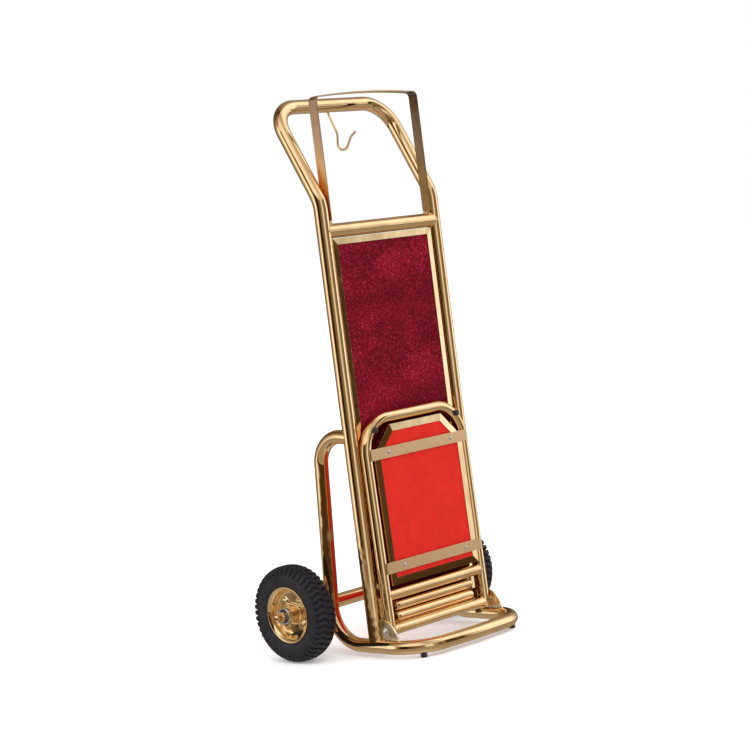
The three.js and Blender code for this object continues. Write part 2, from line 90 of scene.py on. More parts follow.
PANEL_STRAP_S = {"lower": 250, "upper": 820}
RUB_RAIL_S = {"lower": 80.5, "upper": 106}
RUB_RAIL_R = 12
RUB_RAIL_HALF_LENGTH = 130
RUB_RAIL_OFF = 18.1
TRIM_WIDTH = 14.5
TRIM_THICKNESS = 0.8
SHEET_INSET = 0.85
PANEL_FRONT = -0.3
PANEL_BACK = 8
HANGER_X = 164.7
HANGER_CORNER_S = 1252.5
HANGER_CROWN = 5.5
HANGER_BOSS_R = 6.2
HANGER_BOSS_HEIGHT = 6
HANGER_BOSS_COLLAR = 1.4
HANGER_THICKNESS = 3
HANGER_DEPTH = 25
HANGER_CORNER_RADIUS = 14
HOOK_ROUTE = [(151.4, 1226), (126.5, 1172), (129.5, 1134.5), (103, 1134), (86, 1160), (68, 1172)]
HOOK_RADII = [20, 14, 18, 12]
HOOK_WIRE_R = 2.6
PLATFORM_LEAN = LEAN + 1.03
HOOP_X = 161.5
HOOP_LENGTH = 472.6
HOOP_CORNER_RADIUS = 80
HOOP_TAIL = 12.5
PLATFORM_BAR_U = 77.8
BOARD_U = (98.6, 455.6)
BOARD_HALF_WIDTH = 145.5
BOARD_CHAMFER = 59
BUMPER_X = 137
BUMPER_U = 449.3
STRAP_WIDTH = 25
STRAP_THICKNESS = 3.2
STRAP_REACH = 160.5
STRAP_US = {"inner": 138.8, "outer": 395}
SCREW_X = 104
SCREW_HEAD_R = 4.2
SCREW_HEAD_HEIGHT = 2
SIDES = (("left", -1), ("right", 1))


def middle(node):
    """The middle of a CAD node's box, in metres in the row frame."""
    low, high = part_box(node)
    return (low + high) / 2


MIDDLE_Y = AXLE_Y - middle("tyre_left").y / MM
PIVOT = Vector(next(j["pos_m"] for j in frame["joints"] if j["name"] == "platform_fold"))
GROUND = Matrix.Translation((0, -MIDDLE_Y * MM, 0)) @ Matrix.Scale(MM, 4)
FRAME = GROUND @ Matrix.Rotation(-radians(LEAN), 4, "X")
PLATFORM = (
    Matrix.Translation(PIVOT) @ Matrix.Scale(MM, 4) @ Matrix.Rotation(-radians(PLATFORM_LEAN), 4, "X")
)

# Quarter turns that point +X, the axis of a turned shape, another way.
UPWARD = Matrix.Rotation(-pi / 2, 4, "Y")
FORWARD = Matrix.Rotation(-pi / 2, 4, "Z")
BACKWARD = Matrix.Rotation(pi / 2, 4, "Z")


def placed(name, data):
    """A new object in the scene."""
    made = bpy.data.objects.new(name, data)
    bpy.context.scene.collection.objects.link(made)
    return made


# ---------- camera ----------
CAMERA_AIM = Vector((0, -0.05935, 0.453))
CAMERA_AZIMUTH, CAMERA_ELEVATION, CAMERA_ROLL = -46.674, 6.242, -6.143
CAMERA_DISTANCE = 4.8926
CAMERA_SENSOR, CAMERA_LENS = 36, 103.3
CAMERA_SHIFT = (-0.0499, 0.0946)


def camera_axes():
    """Unit vectors from the aim point back to the camera, and to the camera's right."""
    az, el = radians(CAMERA_AZIMUTH), radians(CAMERA_ELEVATION)
    back = Vector((sin(az) * cos(el), -cos(az) * cos(el), sin(el)))
    right = (-back).cross(Vector((0, 0, 1))).normalized()
    return back, right


def make_camera():
    """The view from in front of the cart and to its left, rolled a little."""
    back, right = camera_axes()
    up = back.cross(right)
    roll = radians(CAMERA_ROLL)
    x = right * cos(roll) + up * sin(roll)
    y = up * cos(roll) - right * sin(roll)
    data = bpy.data.cameras.new("photo_camera")
    data.sensor_width = CAMERA_SENSOR
    data.lens = CAMERA_LENS
    data.shift_x, data.shift_y = CAMERA_SHIFT
    data.clip_end = 50
    camera = placed("photo_camera", data)
    turn = Matrix((x, y, back)).transposed().to_4x4()
    camera.matrix_world = Matrix.Translation(CAMERA_AIM + back * CAMERA_DISTANCE) @ turn
    bpy.context.scene.camera = camera


# ---------- materials ----------
class Nodes:
    """Helpers for the procedural nodes of a material or of the world."""

    def __init__(self, tree):
        self.nodes, self.links = tree.nodes, tree.links

    def feed(self, value, into):
        """Links another node's output, or sets a plain number or colour."""
        if hasattr(value, "is_linked"):
            self.links.new(value, into)
        else:
            into.default_value = value

    def new(self, kind, inputs):
        """A new node with each of its inputs linked or set."""
        node = self.nodes.new("ShaderNode" + kind)
        for socket, value in inputs.items():
            self.feed(value, node.inputs[socket])
        return node

    def ramp(self, value, stops, interpolation="LINEAR"):
        """A colour ramp from (position, colour or grey) stops."""
        node = self.new("ValToRGB", {"Fac": value})
        node.color_ramp.interpolation = interpolation
        elements = node.color_ramp.elements
        while len(elements) > 1:
            elements.remove(elements[-1])
        for i, (position, colour) in enumerate(stops):
            element = elements.new(position) if i else elements[0]
            element.position = position
            element.color = (*colour, 1) if isinstance(colour, tuple) else (colour, colour, colour, 1)
        return node.outputs["Color"]

    def blended(self, a, b, kind="MULTIPLY"):
        node = self.nodes.new("ShaderNodeMix")
        node.data_type, node.blend_type = "RGBA", kind
        for socket, value in ((0, 1.0), (6, a), (7, b)):
            self.feed(value, node.inputs[socket])
        return node.outputs[2]


class Look(Nodes):
    """A Principled material with the textures that feed it."""

    def __init__(self, name, roughness, metallic=0.0):
        self.material = bpy.data.materials.new(name)
        self.material.use_nodes = True
        super().__init__(self.material.node_tree)
        self.shader = self.nodes["Principled BSDF"]
        self.shaded("Metallic", metallic)
        self.shaded("Roughness", roughness)
        self.place = self.new("TexCoord", {}).outputs["Object"]

    def noise(self, scale, detail, roughness=0.5, stretch=None):
        place = self.place
        if stretch:
            place = self.new("Mapping", {"Scale": stretch, "Vector": place}).outputs["Vector"]
        inputs = {"Scale": scale, "Detail": detail, "Roughness": roughness, "Vector": place}
        return self.new("TexNoise", inputs).outputs["Fac"]

    def spots(self, scale):
        return self.new("TexVoronoi", {"Scale": scale, "Vector": self.place}).outputs["Distance"]

    def ranged(self, value, start, end, low=0.0, high=1.0):
        """Moves a value from the range start to end to the range low to high."""
        limits = {"From Min": start, "From Max": end, "To Min": low, "To Max": high}
        return self.new("MapRange", {"Value": value, **limits}).outputs["Result"]

    def spread(self, value, low, high):
        """A noise value of about 0.3 to 0.7 moved to the range low to high."""
        return self.ranged(value, 0.3, 0.7, low, high)

    def bumped(self, *layers):
        """Bump from (height, distance in metres) layers, one on top of another."""
        below = {}
        for height, distance in layers:
            node = self.new("Bump", {"Distance": distance, "Height": height, **below})
            below = {"Normal": node.outputs["Normal"]}
        return self.shaded("Normal", below["Normal"])

    def shaded(self, socket, value):
        """Links or sets one of the shader's own sockets."""
        self.feed(value, self.shader.inputs[socket])
        return self

    def coloured(self, colour):
        return self.shaded("Base Color", colour)

    def tinted(self, value, start, low, end, high):
        """Colour that runs from low, where the value is at start, to high, where it is at end."""
        return self.coloured(self.ramp(value, [(start, low), (end, high)]))

    def roughened(self, value, low, high):
        return self.shaded("Roughness", self.spread(value, low, high))


def polished_gold(name, deep, light, roughness, wave=0.0007):
    """Mirror-polished gold coating: cloudy polish, faint waviness and hairline scratches."""
    look = Look(name, roughness, metallic=1)
    clouds = look.noise(9, 4)
    look.tinted(clouds, 0.3, deep, 0.7, light)
    look.roughened(look.noise(45, 5, 0.65), roughness * 0.6, roughness * 1.6)
    scratches = look.noise(900, 2, stretch=(1, 1, 0.06))
    return look.bumped((look.noise(13, 2), wave), (scratches, 0.000002)).material


def make_gold_tube():
    return polished_gold("gold_tube_look", (0.90, 0.61, 0.32), (0.97, 0.71, 0.41), 0.02)


def make_gold_rim():
    return polished_gold("gold_rim_look", (0.92, 0.62, 0.28), (1.0, 0.80, 0.49), 0.1)


def make_gold_trim():
    """Thin polished strip round the boards, bent a little by its tacks."""
    return polished_gold("gold_trim_look", (0.90, 0.66, 0.37), (0.97, 0.76, 0.47), 0.03, 0.0009)


def make_gold_flat():
    """Flat bar with an even satin finish."""
    look = Look("gold_flat_look", 0.34, metallic=1)
    cloud = look.noise(7, 3)
    look.tinted(cloud, 0.3, (0.92, 0.61, 0.34), 0.7, (0.98, 0.68, 0.40))
    look.roughened(look.noise(60, 4), 0.3, 0.38)
    return look.bumped((look.noise(400, 2), 0.00001), (look.noise(9, 2), 0.0004)).material


def make_gold_plate():
    """Thick polished plate, softer than the tube."""
    look = Look("gold_plate_look", 0.2, metallic=1)
    look.tinted(look.noise(20, 3), 0.3, (1.0, 0.80, 0.50), 0.7, (1.0, 0.87, 0.62))
    look.roughened(look.noise(60, 4), 0.14, 0.26)
    return look.bumped((look.noise(400, 2), 0.00001), (look.noise(18, 2), 0.0016)).material


def make_hanger_gold():
    """Satin bar with painted reflections: orange at its feet running to dull bronze at the top, and a
    painted darker reflection down its right side.
    """
    look = Look("hanger_look", 0.3, metallic=1)
    split = look.new("SeparateXYZ", {"Vector": look.place})
    # Painted reflection: the colour changes with height, orange at the feet, dull bronze near the top and a
    # pale band at the very top.
    foot_height, top_height = 0.97, 1.25
    tone = look.ramp(look.ranged(split.outputs["Z"], foot_height, top_height), [
        (0.0, (0.80, 0.42, 0.14)), (0.35, (0.80, 0.46, 0.20)),
        (0.6, (0.60, 0.37, 0.21)), (0.96, (0.38, 0.24, 0.16)), (1.0, (0.8, 0.6, 0.4)),
    ])
    # Painted reflection: the right strip is darkened to about a third of the left strip's brightness.
    right_start, right_end = 0.12, 0.16
    shade = look.ramp(look.ranged(split.outputs["X"], right_start, right_end), [(0.0, 1.0), (1.0, 0.36)])
    cloud = look.ramp(look.noise(16, 4), [(0.3, 0.85), (0.7, 1.1)])
    look.coloured(look.blended(look.blended(tone, shade), cloud))
    look.roughened(look.noise(60, 4), 0.24, 0.36)
    return look.bumped((look.noise(300, 2), 0.00001), (look.noise(9, 2), 0.0004)).material


def make_steel():
    """Zinc-plated steel of the bolts, screws, pins and bearings."""
    look = Look("steel_look", 0.22, metallic=1)
    look.tinted(look.noise(80, 3), 0.3, (0.72, 0.72, 0.74), 0.7, (0.80, 0.80, 0.81))
    look.roughened(look.noise(200, 4), 0.18, 0.26)
    return look.bumped((look.noise(300, 2), 0.000006)).material


def make_tyre_rubber():
    """Matt black rubber with a thin film of dust."""
    look = Look("tyre_look", 0.55)
    dust = look.noise(30, 6, 0.7)
    look.tinted(dust, 0.35, (0.010, 0.0092, 0.0125), 0.7, (0.021, 0.019, 0.025))
    look.roughened(look.noise(120, 4), 0.38, 0.58)
    look.shaded("Specular IOR Level", 0.32)
    return look.bumped((look.noise(700, 3, 0.6), 0.00008), (look.noise(160, 3), 0.0001)).material


def make_black_rubber():
    """Smoother rubber of the feet, bumpers, seals and valves."""
    look = Look("black_rubber_look", 0.5)
    grime = look.noise(150, 4)
    look.tinted(grime, 0.3, (0.012, 0.012, 0.013), 0.7, (0.028, 0.028, 0.03))
    look.roughened(look.noise(300, 3), 0.4, 0.6)
    return look.bumped((look.noise(1500, 3), 0.00005)).material


def make_carpet():
    """Short burgundy cut pile: tuft by tuft colour over broad brushed patches."""
    look = Look("carpet_look", 0.95)
    tufts = look.noise(200, 5, 0.9)
    patches = look.noise(7, 3, 0.55, stretch=(1, 1, 2))
    pile = look.ramp(tufts, [
        (0.36, (0.050, 0.0005, 0.004)),
        (0.49, (0.135, 0.003, 0.010)),
        (0.58, (0.245, 0.009, 0.024)),
        (0.68, (0.54, 0.065, 0.11)),
    ])
    shade = look.ramp(patches, [(0.35, 0.62), (0.65, 1.3)])
    look.coloured(look.blended(pile, shade))
    look.shaded("Sheen Weight", 0.06)
    look.shaded("Sheen Roughness", 0.4)
    look.shaded("Sheen Tint", (0.9, 0.25, 0.35, 1))
    look.shaded("Specular IOR Level", 0.05)
    return look.bumped((tufts, 0.0014), (look.spots(420), 0.0006)).material


def make_red_board():
    """Bright red facing with a faint felt-like mottle."""
    look = Look("red_board_look", 0.75)
    mottle = look.noise(40, 6, 0.7, stretch=(1, 1, 0.7))
    look.tinted(mottle, 0.32, (0.475, 0.0125, 0.006), 0.68, (0.56, 0.018, 0.0095))
    look.roughened(look.noise(90, 4), 0.7, 0.85)
    look.shaded("Specular IOR Level", 0.12)
    return look.bumped((look.noise(700, 4, 0.7), 0.00015)).material


# ---------- shapes ----------
class Shape:
    """Points and faces in one local space, gathered before they become a mesh."""

    def __init__(self):
        self.points, self.faces = [], []

    def add(self, points, faces):
        first = len(self.points)
        self.points.extend(Vector(p) for p in points)
        self.faces.extend([tuple(first + i for i in face) for face in faces])
        return self

    def rings(self, rings, closed=False):
        """A skin over rings of points with equal counts. closed joins the last ring to the first."""
        count = len(rings[0])
        faces = []
        for r in range(len(rings) if closed else len(rings) - 1):
            a, b = r * count, (r + 1) % len(rings) * count
            for i in range(count):
                j = (i + 1) % count
                faces.append((a + i, a + j, b + j, b + i))
        if not closed:
            faces.append(tuple(reversed(range(count))))
            last = (len(rings) - 1) * count
            faces.append(tuple(last + i for i in range(count)))
        return self.add([p for ring in rings for p in ring], faces)


def mesh_of(name, shape, place):
    """A smooth-shaded mesh with its faces pointing out."""
    mesh = bpy.data.meshes.new(name)
    mesh.from_pydata([place @ p for p in shape.points], [], shape.faces)
    work = bmesh.new()
    work.from_mesh(mesh)
    bmesh.ops.recalc_face_normals(work, faces=work.faces)
    work.to_mesh(mesh)
    work.free()
    mesh.shade_smooth()
    return mesh


def piece(name, shape, place, body, slot, *nodes, look=None, crease=40, bevel=0.0):
    """Makes a visible piece that rides on a body and stands for CAD nodes. bevel rounds hard edges."""
    mesh = mesh_of(name, shape, place)
    mesh.materials.append(LOOKS[look or slot])
    made = placed(name, mesh)
    if bevel:
        rounding = made.modifiers.new("edges", "BEVEL")
        rounding.width = bevel * MM
        rounding.segments = 3
        rounding.limit_method = "ANGLE"
        rounding.angle_limit = radians(crease)
        rounding.harden_normals = True
    else:
        mesh.set_sharp_from_angle(angle=radians(crease))
    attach(made, body)
    if nodes:
        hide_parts(*nodes)
    return made


def stand_in(node, ending, shape, place, body, slot, **looks):
    """A piece that stands for one CAD node and is named after it."""
    piece(f"{node}_{ending}", shape, place, body, slot, node, **looks)


def bent_path(corners, radii, step=5):
    """Points along straight runs joined by arcs, given the corner points and the arcs' radii."""
    corners = [Vector(c) for c in corners]
    path = [corners[0]]
    for before, corner, after, radius in zip(corners, corners[1:], corners[2:], radii):
        into = (corner - before).normalized()
        out = (after - corner).normalized()
        angle = into.angle(out)
        start = corner - into * radius * tan(angle / 2)
        axis = into.cross(out).normalized()
        centre = start + axis.cross(into) * radius
        steps = max(2, round(angle / radians(step)))
        for k in range(steps + 1):
            path.append(centre + Matrix.Rotation(angle * k / steps, 3, axis) @ (start - centre))
    path.append(corners[-1])
    return path


def frames_along(path, closed=False):
    """A (point, side, up) frame at each point of a path, turning as little as it can."""
    count = len(path)
    tangents = []
    for i in range(count):
        before = path[i - 1] if i or closed else path[0]
        after = path[(i + 1) % count] if i + 1 < count or closed else path[-1]
        tangents.append((after - before).normalized())
    side = tangents[0].orthogonal().normalized()
    frames = []
    for point, tangent in zip(path, tangents):
        side = (side - tangent * side.dot(tangent)).normalized()
        frames.append((point, side, tangent.cross(side)))
    return frames


def with_end_supports(path, distance):
    """Adds a point near each end, so that smooth shading stays true along the straight runs."""
    first = path[0] + (path[1] - path[0]).normalized() * distance
    last = path[-1] + (path[-2] - path[-1]).normalized() * distance
    return [path[0], first] + path[1:-1] + [last, path[-1]]


def round_tube(shape, path, radius, sides=36, closed=False, rounded=0.0):
    """A round tube along a path. rounded is the share of the radius that its ends are rounded by."""
    rings = []
    if rounded and not closed:
        path = with_end_supports(path, radius * (rounded + 0.4))
    frames = frames_along(path, closed)

    def ring(point, side, up, r):
        turn = 2 * pi / sides
        return [point + side * r * cos(turn * i) + up * r * sin(turn * i) for i in range(sides)]

    for point, side, up in frames:
        rings.append(ring(point, side, up, radius))
    if rounded and not closed:
        soft = radius * rounded
        for end, step in ((0, 1), (-1, -1)):
            point, side, up = frames[end]
            inward = (path[end + step] - path[end]).normalized()
            extra = []
            for k in range(5):
                angle = pi / 2 * k / 4
                depth = soft * (1 - sin(angle))
                extra.append(ring(point + inward * depth, side, up, radius - soft * (1 - cos(angle))))
            if end == 0:
                rings[0:1] = list(reversed(extra))
            else:
                rings[-1:] = extra
    return shape.rings(rings, closed)


def bar(shape, start, end, radius, sides=36, rounded=0.0):
    """A straight round bar."""
    return round_tube(shape, [Vector(start), Vector(end)], radius, sides, rounded=rounded)


def lathe(shape, profile, segments, turn, closed=False):
    """Turns (height, radius) pairs about an axis. turn places +X, the axis, in local space."""
    rings = []
    for x, r in profile:
        r = max(r, 0.01)
        angles = [2 * pi * i / segments for i in range(segments)]
        rings.append([turn @ Vector((x, r * cos(a), r * sin(a))) for a in angles])
    return shape.rings(rings, closed)


def dome(base, height, radius, steps=8):
    """The (height, radius) pairs of a quarter ellipse, from its rim to its top."""
    angles = [pi / 2 * k / steps for k in range(steps + 1)]
    return [(base + height * sin(a), radius * cos(a)) for a in angles]


def facing(side):
    """Turns +X to the given side by a mirror."""
    return Matrix.Scale(side, 4, (1, 0, 0))


def slab(shape, outline, front, back):
    """A flat plate in the XZ plane from y = front to y = back."""
    return shape.rings([[(x, y, z) for x, z in outline] for y in (front, back)])


def rectangle(half_width, bottom, top):
    return [(-half_width, bottom), (half_width, bottom), (half_width, top), (-half_width, top)]


def inset(outline, distance):
    """A convex outline moved inwards by distance, with its corners still sharp."""
    moved = []
    count = len(outline)
    for i in range(count):
        p, c, n = (Vector(outline[k % count]) for k in (i - 1, i, i + 1))
        a, b = (c - p).normalized(), (n - c).normalized()
        left_a, left_b = Vector((-a.y, a.x)), Vector((-b.y, b.x))
        half = (left_a + left_b).normalized()
        moved.append(tuple(c + half * distance / half.dot(left_a)))
    return moved


def mitred_trim(shape, outline, width, front, back, fall=0.0, other_fall=None, slit=0.35):
    """A flat strip along each side of an outline, mitred at the corners with a hairline slit.

    fall is how far the outer edge of each strip's face lies behind its inner edge. other_fall
    replaces it on the strips along the top and the right.
    """
    inner = inset(outline, width)
    count = len(outline)
    centre = sum((Vector(p) for p in outline), Vector((0, 0))) / count
    for i in range(count):
        j = (i + 1) % count
        along = (Vector(outline[j]) - Vector(outline[i])).normalized() * slit
        upright = abs(along.y) > abs(along.x)
        level = abs(along.x) > 0.99 * slit
        quad = [
            Vector(outline[i]) + along, Vector(outline[j]) - along,
            Vector(inner[j]) - along, Vector(inner[i]) + along,
        ]
        outward = (quad[0] + quad[1]) / 2 - centre
        top_or_right = (upright and outward.x > 0) or (level and outward.y > 0)
        drop = other_fall if other_fall is not None and top_or_right else fall
        near = [(p.x, y, p.y) for p, y in zip(quad, (front + drop, front + drop, front, front))]
        far = [(p.x, back, p.y) for p in quad]
        shape.rings([near, far])
    return shape


def wrapped_trim(outline, width, face, lip, back, fall, other_fall=None):
    """Mitred strips whose outer edge turns back over the edge of a board.

    face and lip are the front and back of the flat strip, back is where the turned edge ends.
    """
    shape = mitred_trim(Shape(), outline, width, face, lip, fall, other_fall)
    mitred_trim(shape, outline, TRIM_THICKNESS, lip, back, slit=0.05)
    return shape


def board_outline(shrink=0.0):
    """The platform board: a rectangle with its two far corners cut off."""
    half, (bottom, top), cut = BOARD_HALF_WIDTH, BOARD_U, BOARD_CHAMFER
    outline = [
        (-half, bottom), (half, bottom), (half, top - cut),
        (half - cut, top), (cut - half, top), (-half, top - cut),
    ]
    return inset(outline, shrink) if shrink else outline


def weld(shape, ring, radius, seed):
    """A polished weld: a thin uneven bead along a closed ring of points."""
    draw = np.random.RandomState(seed)
    swell = draw.uniform(0.85, 1.2, len(ring))
    rings = []
    for (point, side, up), grow in zip(frames_along(ring, closed=True), swell):
        r = radius * grow
        rings.append([point + side * r * cos(a) + up * r * sin(a) for a in np.arange(8) * pi / 4])
    return shape.rings(rings, closed=True)


def end_welds(shape, reach, level, radius, tube_radius, bead, seed, count=40):
    """Welds round both ends of a bar along X, where it meets upright tubes whose axes are at reach."""
    for _, side in SIDES:
        ring = []
        for i in range(count):
            a, b = radius * cos(2 * pi * i / count), radius * sin(2 * pi * i / count)
            depth = sqrt(tube_radius**2 - a * a)
            ring.append(Vector((side * (reach - depth), a, level + b)))
        weld(shape, ring, bead, seed + side)


# ---------- carpet ----------
TUFT_STEP = 2.0
SHORN_EDGE = 0.3


def pile(shape, outline, base, tip, seed=1):
    """Cut pile over a convex outline in the XZ plane: jittered tufts from y = base to about y = tip."""
    draw = np.random.RandomState(seed)
    xs, zs = [p[0] for p in outline], [p[1] for p in outline]
    columns = round((max(xs) - min(xs)) / TUFT_STEP)
    rows = round((max(zs) - min(zs)) / TUFT_STEP)
    height = draw.uniform(0.25, 1.0, (rows + 1, columns + 1))
    height[[0, -1]] *= SHORN_EDGE
    jitter = draw.uniform(-0.35, 0.35, (rows + 1, columns + 1, 2)) * TUFT_STEP
    jitter[[0, -1]] = jitter[:, [0, -1]] = 0
    points = []
    for r in range(rows + 1):
        z = min(zs) + (max(zs) - min(zs)) * r / rows
        reach = half_width_at(outline, z)
        for c in range(columns + 1):
            x = reach * (2 * c / columns - 1)
            edge = SHORN_EDGE if c in (0, columns) else 1.0
            y = base + (tip - base) * height[r, c] * edge
            points.append((x + jitter[r, c, 0], y, z + jitter[r, c, 1]))
    faces = []
    for r in range(rows):
        for c in range(columns):
            a = r * (columns + 1) + c
            faces.append((a, a + 1, a + columns + 2, a + columns + 1))
    return shape.add(points, faces)


def half_width_at(outline, z):
    """Half the width of a symmetric convex outline at height z."""
    widest = 0.0
    for (x0, z0), (x1, z1) in zip(outline, outline[1:] + outline[:1]):
        if min(z0, z1) <= z <= max(z0, z1):
            share = (z - z0) / (z1 - z0) if z0 != z1 else 0
            widest = max(widest, x0 + (x1 - x0) * share)
    return widest


def carpet(name, outline, back, tip, place, body, node):
    """A backing slab with pile on the side that y = tip faces."""
    shape = Shape()
    ground = back + (tip - back) * 0.55
    slab(shape, outline, back, ground)
    pile(shape, inset(outline, 0.2), ground, tip)
    piece(name, shape, place, body, "carpet", node, crease=180)


# ---------- back frame ----------
def make_main_tube():
    """Both uprights and the kinked handle are one bent tube."""
    angle = radians(HANDLE_ANGLE)
    grip_y = HANDLE_LENGTH * sin(angle)
    grip_z = KINK_S + HANDLE_LENGTH * cos(angle)
    x = UPRIGHT_X
    route = [
        (-x, 0, RAIL_Z + 2), (-x, 0, KINK_S), (-x, grip_y, grip_z),
        (x, grip_y, grip_z), (x, 0, KINK_S), (x, 0, RAIL_Z + 2),
    ]
    radii = [KINK_RADIUS, GRIP_CORNER_RADIUS, GRIP_CORNER_RADIUS, KINK_RADIUS]
    shape = round_tube(Shape(), bent_path(route, radii, 3), TUBE_R, sides=48)
    nodes = ("upright_left", "upright_right", "handle_hoop")
    piece("main_tube", shape, FRAME, "frame", "gold_tube", *nodes)


def make_crossbar():
    """The tube between the uprights, welded at both ends."""
    shape = bar(Shape(), (-UPRIGHT_X, 0, CROSSBAR_S), (UPRIGHT_X, 0, CROSSBAR_S), TUBE_R, sides=48)
    end_welds(shape, UPRIGHT_X, CROSSBAR_S, TUBE_R - 0.2, TUBE_R, bead=1.2, seed=5, count=64)
    piece("crossbar_top_bar", shape, FRAME, "frame", "gold_tube", "crossbar_top")


def hanger_line(x, top, radius):
    """Half of the garment hanger's outline: up one side, round the corner and along the crowned top."""
    foot = CROSSBAR_S + TUBE_R + HANGER_BOSS_HEIGHT
    line = [(x, foot), (x, foot + 2), (x, (foot + top) / 2), (x, top - radius - 2)]
    for k in range(11):
        angle = pi / 2 * k / 10
        line.append((x - radius + radius * cos(angle), top - radius + radius * sin(angle)))
    for k in range(1, 13):
        share = 1 - k / 12
        line.append(((x - radius) * share, top + HANGER_CROWN * (1 - share**2)))
    return line


def make_hanger():
    """The flat-bar arch for garment bags."""
    half = HANGER_DEPTH / 2
    outer = hanger_line(HANGER_X, HANGER_CORNER_S, HANGER_CORNER_RADIUS)
    inner = hanger_line(
        HANGER_X - HANGER_THICKNESS, HANGER_CORNER_S - HANGER_THICKNESS,
        HANGER_CORNER_RADIUS - HANGER_THICKNESS)
    pairs = list(zip(outer, inner))
    pairs += [((-a[0], a[1]), (-b[0], b[1])) for a, b in reversed(pairs[:-1])]
    rings = []
    for (ox, oz), (ix, iz) in pairs:
        rings.append([(ox, -half, oz), (ox, half, oz), (ix, half, iz), (ix, -half, iz)])
    shape = Shape().rings(rings)
    piece("hanger_strip", shape, FRAME, "frame", "gold_flat", "garment_hanger", look="hanger", bevel=0.5)


def make_hanger_bosses():
    """The hanger's feet stand on two domed bosses on the top crossbar."""
    collar = TUBE_R + HANGER_BOSS_COLLAR
    crown = dome(collar, HANGER_BOSS_HEIGHT - HANGER_BOSS_COLLAR, HANGER_BOSS_R)
    profile = [(TUBE_R - 4, 0), (TUBE_R - 4, HANGER_BOSS_R)] + crown
    for name, side in SIDES:
        x = side * (UPRIGHT_X - TUBE_R - HANGER_BOSS_R - 1)
        upright = Matrix.Translation((x, 0, CROSSBAR_S)) @ UPWARD
        boss = lathe(Shape(), profile, 36, upright)
        stand_in(f"hanger_boss_{name}", "dome", boss, FRAME, "frame", "gold_tube")


def screw_head(shape, turn):
    """A domed screw head about +X, its middle at the origin of turn."""
    base = -SCREW_HEAD_HEIGHT / 2
    profile = [(base, 0), (base, SCREW_HEAD_R * 0.96)]
    profile += dome(base + 0.3, SCREW_HEAD_HEIGHT - 0.3, SCREW_HEAD_R)
    return lathe(shape, profile, 32, turn)


def make_hook():
    """The bent wire hook under the grip."""
    route = [(0, y, z) for y, z in HOOK_ROUTE]
    shape = round_tube(Shape(), bent_path(route, HOOK_RADII, 8), HOOK_WIRE_R, sides=16, rounded=0.9)
    piece("hook_wire", shape, GROUND, "frame", "gold_tube", "garment_hook")


def make_base_tube():
    """Both legs, the side rails and the front bow are one bent tube."""
    lean = Matrix.Rotation(-radians(LEAN), 3, "X")
    x = RAIL_X
    ends = [lean @ Vector((side * UPRIGHT_X, 0, LEG_JOINT_Z)) for _, side in SIDES]
    route = [
        ends[0], (-x, LEG_TOP_Y, LEG_TOP_Z), (-x, LEG_FOOT_Y, RAIL_Z), (-x, BOW_SIDE_Y, RAIL_Z),
        (0, BOW_TIP_Y, RAIL_Z), (x, BOW_SIDE_Y, RAIL_Z), (x, LEG_FOOT_Y, RAIL_Z),
        (x, LEG_TOP_Y, LEG_TOP_Z), ends[1],
    ]
    radii = [
        LEG_TOP_RADIUS, LEG_FOOT_RADIUS, BOW_CORNER_RADIUS, BOW_RADIUS,
        BOW_CORNER_RADIUS, LEG_FOOT_RADIUS, LEG_TOP_RADIUS,
    ]
    path = bent_path(route, radii, 4)
    path[0] += Vector((0, 4, 0))
    path[-1] += Vector((0, 4, 0))
    shape = round_tube(Shape(), path, TUBE_R, sides=48)
    piece("base_tube", shape, GROUND, "frame", "gold_tube", "leg_left", "leg_right", "base_bow")


def make_feet():
    """Rubber feet under the front bow."""
    profile = [(0, 0), (0, 6), (0.4, 6.9), (1.2, 7.4), (5, 7.6), (10, 7.2), (12, 7), (12, 0)]
    for name, _ in SIDES:
        centre = middle(f"foot_{name}")
        place = Matrix.Translation((centre.x, centre.y, 0)) @ Matrix.Scale(MM, 4)
        shape = lathe(Shape(), profile, 40, UPWARD)
        stand_in(f"foot_{name}", "rubber", shape, place, "frame", "black_rubber")


def make_panel():
    """The board that fills the frame, with its carpet and edging."""
    outline = rectangle(PANEL_HALF_WIDTH, *PANEL_S)
    board = slab(Shape(), inset(outline, SHEET_INSET), PANEL_FRONT, PANEL_BACK)
    piece("panel_sheet", board, FRAME, "frame", "red_board", "panel_board", bevel=0.8)
    trim = wrapped_trim(outline, TRIM_WIDTH, -5.5, -0.4, 7.4, 0.45)
    piece("panel_edging", trim, FRAME, "frame", "gold_flat", "panel_trim", look="gold_trim", bevel=0.5)
    inside = inset(outline, TRIM_WIDTH + 0.3)
    carpet("panel_pile", inside, PANEL_FRONT, -6.2, FRAME, "frame", "panel_carpet")


def make_panel_straps():
    """Two flat bars behind the panel, each with a screw near both ends."""
    reach = UPRIGHT_X - TUBE_R + 2
    front, back = PANEL_BACK + 0.3, PANEL_BACK + 3.3
    for name, s in PANEL_STRAP_S.items():
        shape = slab(Shape(), rectangle(reach, s - STRAP_WIDTH / 2, s + STRAP_WIDTH / 2), front, back)
        stand_in(f"panel_strap_{name}", "bar", shape, FRAME, "frame", "gold_flat", bevel=0.5)
        heads = Shape()
        for _, side in SIDES:
            centre = (side * SCREW_X, back + SCREW_HEAD_HEIGHT / 2, s)
            screw_head(heads, Matrix.Translation(centre) @ BACKWARD)
        piece(f"panel_strap_{name}_screws", heads, FRAME, "frame", "steel")


def make_rub_rails():
    """Two short round bars across the panel's foot."""
    for name, s in RUB_RAIL_S.items():
        ends = [(side * RUB_RAIL_HALF_LENGTH, -RUB_RAIL_OFF, s) for _, side in SIDES]
        rail = bar(Shape(), *ends, RUB_RAIL_R, rounded=0.35)
        stand_in(f"rub_rail_{name}", "bar", rail, FRAME, "frame", "gold_tube")


